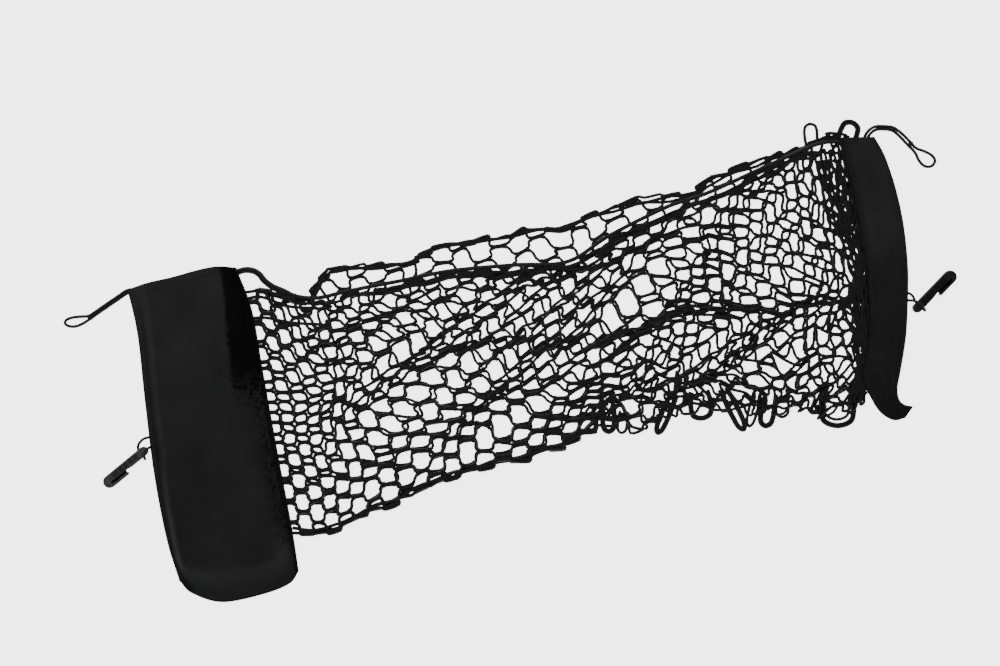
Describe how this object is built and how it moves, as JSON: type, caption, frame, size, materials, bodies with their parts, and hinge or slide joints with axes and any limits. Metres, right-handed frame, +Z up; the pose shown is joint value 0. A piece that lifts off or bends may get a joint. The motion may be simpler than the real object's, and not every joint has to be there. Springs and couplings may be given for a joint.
{
  "type": "cargo net",
  "caption": "Laid-out cargo net: a cloth storage pouch, two layers of knotted netting, a folded cloth sleeve, elastic corner loops and moulded hooks.",
  "frame": {"origin": "centre of the footprint of the pouch, netting, sleeve and hooks, on the surface that the net lies on", "axes": "+X from the pouch to the sleeve, +Y towards the pouch's mouth, +Z up"},
  "size_m": [1.0698, 0.5793, 0.0262],
  "materials": {
    "pouch_cloth": "charcoal woven polyester",
    "netting": "black knotted elastic netting",
    "elastic_cord": "black braided elastic cord",
    "hook_plastic": "black moulded nylon"
  },
  "bodies": {
    "root": {"pouch_back": "pouch_cloth", "pouch_front": "pouch_cloth", "end_sleeve": "pouch_cloth", "net_back": "netting", "net_front": "netting", "edge_cord": "elastic_cord", "corner_loop_left": "elastic_cord", "corner_loop_right": "elastic_cord", "hook_tether_left": "elastic_cord", "hook_tether_right": "elastic_cord", "hook_left": "hook_plastic", "hook_right": "hook_plastic"}
  },
  "joints": []
}
